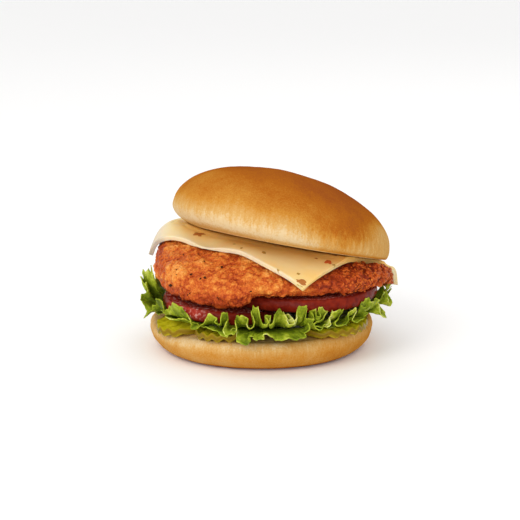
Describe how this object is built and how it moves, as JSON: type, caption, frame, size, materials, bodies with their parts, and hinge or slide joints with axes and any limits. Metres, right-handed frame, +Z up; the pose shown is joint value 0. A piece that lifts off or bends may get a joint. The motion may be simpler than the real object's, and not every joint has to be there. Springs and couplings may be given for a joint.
{
  "type": "chicken burger",
  "caption": "Chicken burger in a round bun, with a breaded fillet, a draped cheese slice, tomato, frilly lettuce and crinkle-cut pickle chips.",
  "frame": {"origin": "centre of the bun heel's flat underside, on the surface that the burger stands on", "axes": "+Z up, -Y to the front where the fillings show best, +X to the right seen from the front, where the crown leans down"},
  "size_m": [0.1276, 0.119, 0.0892],
  "materials": {
    "heel_crust": "satin golden baked crust",
    "pickle": "wet, slightly translucent",
    "lettuce": "satin, waxy",
    "tomato": "wet and glossy",
    "chicken_crust": "rough fried breading with a little oil sheen",
    "cheese": "smooth, soft sheen",
    "crown_crust": "satin golden brown baked crust"
  },
  "bodies": {
    "root": {"bun_heel": "heel_crust", "pickle_left": "pickle", "pickle_middle": "pickle", "pickle_right": "pickle", "lettuce_leaf": "lettuce", "tomato_left": "tomato", "tomato_right": "tomato", "chicken_fillet": "chicken_crust", "cheese_slice": "cheese", "bun_crown": "crown_crust"}
  },
  "joints": []
}
